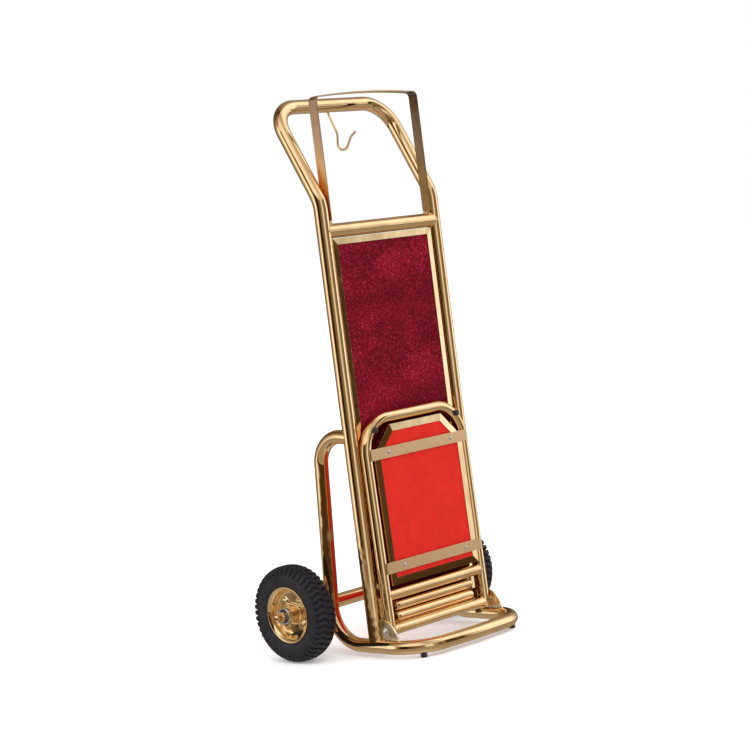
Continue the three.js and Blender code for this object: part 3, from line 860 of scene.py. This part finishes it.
# ---------- platform ----------
def make_platform_tube():
    """The bent hoop, its crossbar and the hinge tube that turns on the pivot bolts."""
    route = [
        (-HOOP_X, 0, -HOOP_TAIL), (-HOOP_X, 0, HOOP_LENGTH),
        (HOOP_X, 0, HOOP_LENGTH), (HOOP_X, 0, -HOOP_TAIL),
    ]
    path = bent_path(route, [HOOP_CORNER_RADIUS] * 2, 3)
    shape = round_tube(Shape(), path, HOOP_R, sides=40, rounded=0.12)
    piece("platform_tube", shape, PLATFORM, "platform", "gold_tube", "platform_hoop")
    for name, u in (("platform_crossbar", PLATFORM_BAR_U), ("hinge_tube", 0)):
        shape = bar(Shape(), (-HOOP_X + 3, 0, u), (HOOP_X - 3, 0, u), HOOP_R - 0.3)
        end_welds(shape, HOOP_X, u, HOOP_R - 0.4, HOOP_R, bead=1.4, seed=int(u) + 50)
        stand_in(name, "bar", shape, PLATFORM, "platform", "gold_tube")


def make_platform_board():
    """The platform's board: red underneath, carpet on top, edging round its underside."""
    board = slab(Shape(), board_outline(SHEET_INSET), -11.4, -4)
    piece("platform_sheet", board, PLATFORM, "platform", "red_board", "platform_board", bevel=0.8)
    trim = wrapped_trim(board_outline(), TRIM_WIDTH + 1.5, -13, -11.6, -4.2, 1.25, 0.1)
    piece("platform_edging", trim, PLATFORM, "platform", "gold_flat", "platform_trim",
          look="gold_trim", bevel=0.3)
    carpet("platform_pile", board_outline(1), -3.7, 1.5, PLATFORM, "platform", "platform_carpet")


def make_platform_straps():
    """Flat bars across the underside, welded to the front of the hoop's tubes."""
    back = -HOOP_R - 0.2
    front = back - STRAP_THICKNESS
    for name, u in STRAP_US.items():
        outline = rectangle(STRAP_REACH, u - STRAP_WIDTH / 2, u + STRAP_WIDTH / 2)
        shape = slab(Shape(), outline, front, back)
        stand_in(f"platform_strap_{name}", "bar", shape, PLATFORM, "platform", "gold_flat", bevel=0.5)
        for side_name, side in SIDES:
            centre = (side * SCREW_X, front - 0.9, u)
            head = screw_head(Shape(), Matrix.Translation(centre) @ FORWARD)
            stand_in(f"strap_screw_{name}_{side_name}", "head", head, PLATFORM, "platform", "steel")


def make_bumpers():
    """Rubber buttons on the hoop's corners."""
    profile = [(-5, 0), (-5, 6), (-1, 6.6), (1, 7), (3.5, 7), (6, 6.2), (7.4, 4.6), (8, 2.6), (8, 0)]
    for name, side in SIDES:
        turn = Matrix.Translation((side * BUMPER_X, -HOOP_R, BUMPER_U)) @ FORWARD
        shape = lathe(Shape(), profile, 36, turn)
        stand_in(f"bumper_{name}", "rubber", shape, PLATFORM, "platform", "black_rubber")


# ---------- pivots and axle ----------
EAR_THICKNESS = 4.3


def make_pivots():
    """A domed bolt outside each ear plate, and a washer between the ear plate and the hoop."""
    scale = Matrix.Scale(MM, 4)
    y, z = PIVOT.y / MM, PIVOT.z / MM
    collar = [(0, 0), (0, 10.2), (1, 10.6), (1.6, 10), (1.8, 8.4)]
    head = collar + dome(1.8, 3.2, 8.2)
    for name, side in SIDES:
        low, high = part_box(f"ear_plate_{name}")
        outer = side * max(abs(low.x), abs(high.x)) / MM
        bolt = lathe(Shape(), head, 40, Matrix.Translation((outer, y, z)) @ facing(side))
        stand_in(f"pivot_bolt_{name}", "head", bolt, scale, "frame", "steel")
        near = HOOP_X + HOOP_R + 0.3
        far = abs(outer) - EAR_THICKNESS
        ring = [(near, 6), (near, 10.2), (near + 0.3, 10.5), (far - 0.3, 10.5), (far, 10.2), (far, 6)]
        washer = lathe(Shape(), ring, 36, Matrix.Translation((0, y, z)) @ facing(side), closed=True)
        stand_in(f"pivot_washer_{name}", "ring", washer, scale, "frame", "steel")


def make_axle_nut(name, side):
    """A hexagon nut with a round collar."""
    turn = Matrix.Translation((side * AXLE_NUT_X, AXLE_Y, WHEEL_R)) @ facing(side)
    hexagon = [(-4.5, 12.2), (-3.6, 13), (2.6, 13), (3.6, 12)]
    nut = lathe(Shape(), [(-4.5, 8.2)] + hexagon + [(3.7, 10.4), (5.6, 10.2), (5.6, 8.2)], 6, turn)
    stand_in(f"axle_nut_{name}", "hex", nut, GROUND, "frame", "gold_tube", bevel=0.4)


def make_split_pin(name, side):
    """A pin through the shaft, with an eye above and two legs bent apart below."""
    pin = Shape()
    x, y, z = side * SPLIT_PIN_X, AXLE_Y, WHEEL_R
    eye = [(x, y, z + 9), (x, y - 3, z + 12), (x, y, z + 16), (x, y + 3, z + 12), (x, y, z + 9.2)]
    round_tube(pin, bent_path(eye, [2, 2, 2], 15), SPLIT_PIN_WIRE_R, 10)
    bar(pin, (x, y, z - 9), (x, y, z + 9.5), 1.5, 12)
    for _, way in SIDES:
        leg = [(x, y + way * 0.7, z - 7), (x, y + way * 0.9, z - 10), (x, y + way * 6, z - 14.5)]
        round_tube(pin, bent_path(leg, [2.5], 12), SPLIT_PIN_WIRE_R, 10, rounded=0.6)
    stand_in(f"split_pin_{name}", "wire", pin, GROUND, "frame", "steel")


def make_axle():
    """The cross tube behind the legs, the shaft through it, and a nut and a split pin at each end."""
    y, z = AXLE_Y, WHEEL_R
    half = AXLE_TUBE_HALF_LENGTH
    shape = bar(Shape(), (-half, y, z), (half, y, z), TUBE_R, sides=48, rounded=0.1)
    piece("axle_cross_tube", shape, GROUND, "frame", "gold_tube", "axle_tube")
    shape = bar(Shape(), (-AXLE_HALF_LENGTH, y, z), (AXLE_HALF_LENGTH, y, z), AXLE_R, rounded=0.25)
    piece("axle_rod", shape, GROUND, "frame", "gold_tube", "axle_shaft")
    for name, side in SIDES:
        make_axle_nut(name, side)
        make_split_pin(name, side)


# ---------- wheels ----------
LUGS = 46
LUG_HEIGHT = 5
COLUMNS_PER_LUG = 12
LUG_BIAS = 0.42
ZIGZAG_REACH = 1.1
ZIGZAG_TURNS = 9.0
TYRE_HALF_WIDTH = 28.3
TYRE_WIDEST_R = 83.0
SQUARENESS = 2 / 2.7
SIDEWALL_RINGS = (72.0, 84.5)
PAD_RING_R = 35.5
PAD_LIFT = 4
PAD_INNER_R, PAD_OUTER_R = 7, 12.5


def wheel_centre(side):
    return Matrix.Translation((side * WHEEL_X, AXLE_Y, WHEEL_R))


def smooth_step(low, high, value):
    """0 below low, 1 above high and a smooth rise between them."""
    t = np.clip((value - low) / (high - low), 0, 1)
    return t * t * (3 - 2 * t)


def tyre_section():
    """(x, r) points along the tyre's outside from bead to bead, and the normal at each."""
    crown = WHEEL_R - LUG_HEIGHT - TYRE_WIDEST_R
    outside = []
    for t in np.linspace(0, pi, 64):
        x = TYRE_HALF_WIDTH * np.sign(cos(t)) * abs(cos(t)) ** SQUARENESS
        outside.append((x, TYRE_WIDEST_R + crown * abs(sin(t)) ** SQUARENESS))
    side = [(22.2, 57.5), (23.5, 63.8), (24.6, 65), (26.4, 68), (27.5, 73), (28.15, 78)]
    line = np.array(side + outside + [(-x, r) for x, r in reversed(side)])
    ahead = np.roll(line, -1, 0) - np.roll(line, 1, 0)
    ahead[0], ahead[-1] = line[1] - line[0], line[-1] - line[-2]
    normal = np.stack([ahead[:, 1], -ahead[:, 0]], 1)
    normal /= np.linalg.norm(normal, axis=1)[:, None]
    return line, normal


def tread_height(x, r, theta):
    """How far the lugs and the two rings on the sidewall stand out, at each x and r for each angle."""
    row = np.sign(x)
    across = np.abs(x) / TYRE_HALF_WIDTH
    phase = LUGS * theta[None, :] + ZIGZAG_REACH * np.sin(across * ZIGZAG_TURNS) * row + (row > 0) * pi
    lug = smooth_step(-0.2, 0.2, np.cos(phase) + LUG_BIAS)
    groove = smooth_step(0.03, 0.09, across) * 0.55 + 0.45
    shoulder = smooth_step(91.5, 94, r)
    height = LUG_HEIGHT * lug * groove * shoulder
    for ring_r in SIDEWALL_RINGS:
        height = height + 0.5 * np.exp(-(((r - ring_r) / 0.9) ** 2))
    return height


def make_tyre(name, side):
    """The tyre with two rows of zigzag lugs, half a lug apart."""
    line, normal = tyre_section()
    columns = LUGS * COLUMNS_PER_LUG
    theta = 2 * pi * np.arange(columns) / columns
    x, r = line[:, 0][:, None], line[:, 1][:, None]
    height = tread_height(x, r, theta)
    px = x + normal[:, 0][:, None] * height
    pr = np.minimum(r + normal[:, 1][:, None] * height, WHEEL_R)
    turn = wheel_centre(side)
    rings = []
    for ring_x, ring_r in zip(px, pr):
        ring = [(x, r * cos(a), r * sin(a)) for x, r, a in zip(ring_x, ring_r, theta)]
        rings.append([turn @ Vector(point) for point in ring])
    shape = Shape().rings(rings, closed=True)
    stand_in(f"tyre_{name}", "tread", shape, GROUND, f"wheel_{name}", "tyre", crease=50)


def make_rim(name, side, face, out):
    """One pressed half of the split rim: lip, steep wall and a disc with four round pads pressed in it."""
    profile = [(0.7, 20.0), (7.2, 20.0), (8, 20.8), (8, 22.4), (7.2, 23.2), (4.6, 24)]
    profile += [(4.0, r) for r in np.arange(25, 48.1, 1.0)]
    disc = range(6, len(profile))
    profile += [(4.4, 49.5), (5.8, 51), (8, 52), (14, 53.4), (19, 54.8), (21.2, 56), (22.8, 57.8)]
    profile += [(24.4, 60), (25.6, 62.2), (26.1, 63.4), (25.7, 64.1), (24.2, 64.2), (23.2, 63)]
    profile += [(21.9, 59.8), (20.4, 57.6), (18, 56.2), (6, 53.4), (1.6, 52)]
    segments = 144
    turn = wheel_centre(side) @ facing(out)
    rings = []
    for i, (x, r) in enumerate(profile):
        ring = []
        for k in range(segments):
            a = 2 * pi * k / segments
            lift = pad_lift(r, a) if i in disc else 0.0
            ring.append(turn @ Vector((x + lift, r * cos(a), r * sin(a))))
        rings.append(ring)
    shape = Shape().rings(rings, closed=True)
    stand_in(f"rim_{face}_{name}", "pressing", shape, GROUND, f"wheel_{name}", "gold_rim", crease=55)


def pad_lift(r, angle):
    """How far the nearest of the rim's four pads lifts the disc at radius r."""
    nearest = round((angle - pi / 4) / (pi / 2)) * pi / 2 + pi / 4
    away = sqrt(r * r + PAD_RING_R**2 - 2 * r * PAD_RING_R * cos(angle - nearest))
    return PAD_LIFT * float(1 - smooth_step(PAD_INNER_R, PAD_OUTER_R, away))


def make_hub(name, side):
    """The sleeve between the two bearings."""
    sleeve = [(-24, 9.5), (-24, 18.4), (-23.2, 19.4), (23.2, 19.4), (24, 18.4), (24, 9.5)]
    hub = lathe(Shape(), sleeve, 64, wheel_centre(side), closed=True)
    stand_in(f"hub_{name}", "sleeve", hub, GROUND, f"wheel_{name}", "gold_rim", look="gold_tube")


def make_bearing(name, side, face, out):
    """A ball bearing: its steel races, and the rubber seal between them."""
    races = [
        (24.3, 8.3), (24.3, 17.8), (25, 18.5), (34.8, 18.5), (35.5, 17.8), (35.5, 15.9),
        (35, 15.5), (33.6, 15.5), (33.6, 11.6), (35, 11.6), (35.5, 11.2), (35.5, 8.3),
    ]
    ring = [(33.7, 11.7), (34.6, 11.7), (34.9, 13.6), (34.6, 15.4), (33.7, 15.4)]
    turn = wheel_centre(side) @ facing(out)
    race = lathe(Shape(), races, 64, turn, closed=True)
    stand_in(f"bearing_{face}_{name}", "race", race, GROUND, f"wheel_{name}", "steel")
    seal = lathe(Shape(), ring, 64, turn, closed=True)
    piece(f"bearing_{face}_{name}_seal", seal, GROUND, f"wheel_{name}", "black_rubber")


def make_valve(name, side):
    """The tyre valve, which leans out of the rim's disc."""
    lean = Matrix.Rotation(radians(-8), 4, "X")
    stem = wheel_centre(side) @ facing(side) @ lean @ Matrix.Translation((4, 0, -45))
    profile = [(0, 0), (0, 5.2), (2.5, 5), (4, 3.8), (13, 3.4), (14, 2.6), (19, 2.6), (19.6, 2), (19.6, 0)]
    piece(f"valve_{name}", lathe(Shape(), profile, 28, stem), GROUND, f"wheel_{name}", "black_rubber")


def make_wheel(name, side):
    faces = (("outer", side), ("inner", -side))
    make_tyre(name, side)
    for face, out in faces:
        make_rim(name, side, face, out)
    make_hub(name, side)
    for face, out in faces:
        make_bearing(name, side, face, out)
    make_valve(name, side)


# ---------- studio ----------
def make_floor():
    """A wide pale floor that mirror reflections don't see."""
    look = Look("floor_look", 0.9)
    look.tinted(look.noise(1.5, 3), 0.3, 0.975, 0.7, 0.99)
    look.shaded("Emission Color", (1, 1, 1, 1))
    look.shaded("Emission Strength", 0.2)
    half = 30
    corners = [(-half, -half, 0), (half, -half, 0), (half, half, 0), (-half, half, 0)]
    mesh = mesh_of("studio_floor", Shape().add(corners, [(0, 1, 2, 3)]), Matrix.Identity(4))
    mesh.materials.append(look.material)
    floor = placed("studio_floor", mesh)
    floor.visible_glossy = False


def make_light(name, position, size, power, aim=(0, 0, 0.6)):
    """A large soft disc of light that mirror reflections don't see."""
    data = bpy.data.lights.new(name, "AREA")
    data.shape, data.size, data.energy = "DISK", size, power
    light = placed(name, data)
    light.location = position
    light.rotation_euler = (Vector(aim) - Vector(position)).to_track_quat("-Z", "Y").to_euler()
    light.visible_glossy = False


# The tone ramp takes values up to 1, so the reflections are divided by their peak and scaled back.
REFLECTION_PEAK = 1.25
REFLECTION_STRENGTH = 1.22 * REFLECTION_PEAK


class Studio(Nodes):
    """The world's nodes, with brightness set by compass direction and by height above the horizon."""

    def __init__(self, tree):
        super().__init__(tree)
        self.place = self.new("TexCoord", {}).outputs["Generated"]
        back, right = camera_axes()
        front = Vector((back.x, back.y, 0)).normalized()
        turn = self.math("ARCTAN2", self.along(right), self.along(front))
        self.compass = self.math("ADD", self.math("DIVIDE", turn, 2 * pi), 0.5)
        self.height = self.math("ADD", self.math("MULTIPLY", self.along((0, 0, 1)), 0.5), 0.5)

    def math(self, operation, *values):
        node = self.new("Math", dict(enumerate(values)))
        node.operation = operation
        return node.outputs[0]

    def along(self, direction):
        node = self.new("VectorMath", {0: self.place, 1: direction})
        node.operation = "DOT_PRODUCT"
        return node.outputs["Value"]

    def round_about(self, stops):
        """A ramp over degrees round from the cart's front, positive to the right."""
        return self.ramp(self.compass, [(0.5 + a / 360, tone) for a, tone in stops], "EASE")

    def by_height(self, stops):
        """A ramp over degrees above the horizon."""
        return self.ramp(self.height, [(0.5 + 0.5 * sin(radians(a)), tone) for a, tone in stops], "EASE")

    def background(self, colour, strength):
        return self.new("Background", {"Color": colour, "Strength": strength}).outputs[0]

    def chosen(self, factor, off, on):
        return self.new("MixShader", {0: factor, 1: off, 2: on}).outputs[0]


def studio_walls(studio):
    """Pale panels with dark gaps, from just below the horizon to about 30 degrees above it."""
    panels = studio.round_about([
        (-180, 0.07), (-145, 0.08), (-112, 0.22), (-92, 0.55), (-80, 1.05), (-68, 1.05), (-56, 0.22),
        (-46, 0.03), (-30, 0.0), (-18, 0.1), (2, 0.16), (16, 0.24), (26, 0.7), (36, 0.78), (47, 0.32),
        (64, 0.13), (77, 0.24), (82, 0.06), (89, 0.05), (91.5, 0.48), (97, 0.92), (104, 1.1),
        (120, 0.95), (138, 0.5), (162, 0.2), (180, 0.07),
    ])
    share = studio.by_height([(-9.5, 0.0), (-7, 1.0), (24, 1.0), (32, 0.0)])
    return studio.blended(panels, share)


def studio_ceiling(studio):
    """The part of the studio above its walls, brighter at the front and the right."""
    panels = studio.round_about([
        (-180, 0.25), (-125, 0.08), (-80, 0.3), (-35, 0.95), (0, 0.9), (35, 0.5), (70, 0.6), (100, 1.1),
        (112, 1.1), (122, 0.85), (132, 0.5), (145, 0.3), (158, 0.22), (168, 0.3), (180, 0.25),
    ])
    share = studio.by_height([(24, 0.0), (32, 1.0), (60, 0.9), (90, 0.6)])
    return studio.blended(panels, share)


def studio_ground(studio):
    """The dim floor of the studio, with dark lines under the walls."""
    return studio.by_height([
        (-90, 0.45), (-50, 0.33), (-28, 0.28), (-16, 0.34), (-13, 0.05), (-10, 0.05), (-8.5, 0.3), (-7, 0.0),
    ])


def make_world():
    """White soft light, and for mirror reflections a studio of pale panels with dark gaps between."""
    world = bpy.data.worlds.new("studio")
    world.use_nodes = True
    bpy.context.scene.world = world
    studio = Studio(world.node_tree)
    around = studio.blended(studio_walls(studio), studio_ceiling(studio), "ADD")
    total = studio.blended(around, studio_ground(studio), "ADD")
    toned = studio.ramp(studio.math("DIVIDE", total, REFLECTION_PEAK), [
        (0.0, 0.0), (0.024, (0.028, 0.0135, 0.003)), (0.08, (0.088, 0.058, 0.03)),
        (0.184, (0.192, 0.158, 0.112)), (0.4, (0.416, 0.392, 0.36)), (0.8, 0.8), (1.0, 1.0),
    ])
    white = (1, 1, 1, 1)
    mirrored = studio.background(toned, REFLECTION_STRENGTH)
    soft = studio.background(white, 1.0)
    rays = studio.new("LightPath", {}).outputs
    lighting = studio.chosen(rays["Is Glossy Ray"], soft, mirrored)
    surface = studio.chosen(rays["Is Camera Ray"], lighting, soft)
    studio.feed(surface, studio.nodes["World Output"].inputs["Surface"])


# ---------- the scene ----------
make_camera()
LOOKS = {
    "gold_tube": make_gold_tube(),
    "gold_flat": make_gold_flat(),
    "gold_trim": make_gold_trim(),
    "gold_plate": make_gold_plate(),
    "hanger": make_hanger_gold(),
    "gold_rim": make_gold_rim(),
    "steel": make_steel(),
    "tyre": make_tyre_rubber(),
    "black_rubber": make_black_rubber(),
    "carpet": make_carpet(),
    "red_board": make_red_board(),
}
for node in ("ear_plate_left", "ear_plate_right"):
    frame["nodes"][node].data.materials.clear()
    frame["nodes"][node].data.materials.append(LOOKS["gold_plate"])
make_main_tube()
make_crossbar()
make_hanger()
make_hanger_bosses()
make_hook()
make_base_tube()
make_feet()
make_panel()
make_panel_straps()
make_rub_rails()
make_platform_tube()
make_platform_board()
make_platform_straps()
make_bumpers()
make_pivots()
make_axle()
for side_name, way in SIDES:
    make_wheel(side_name, way)
make_floor()
make_light("key", (-2.2, -2.6, 3.0), 2.2, 55)
make_light("fill", (2.6, -1.2, 2.4), 2.5, 30)
make_world()
bpy.context.scene.view_settings.view_transform = "Standard"
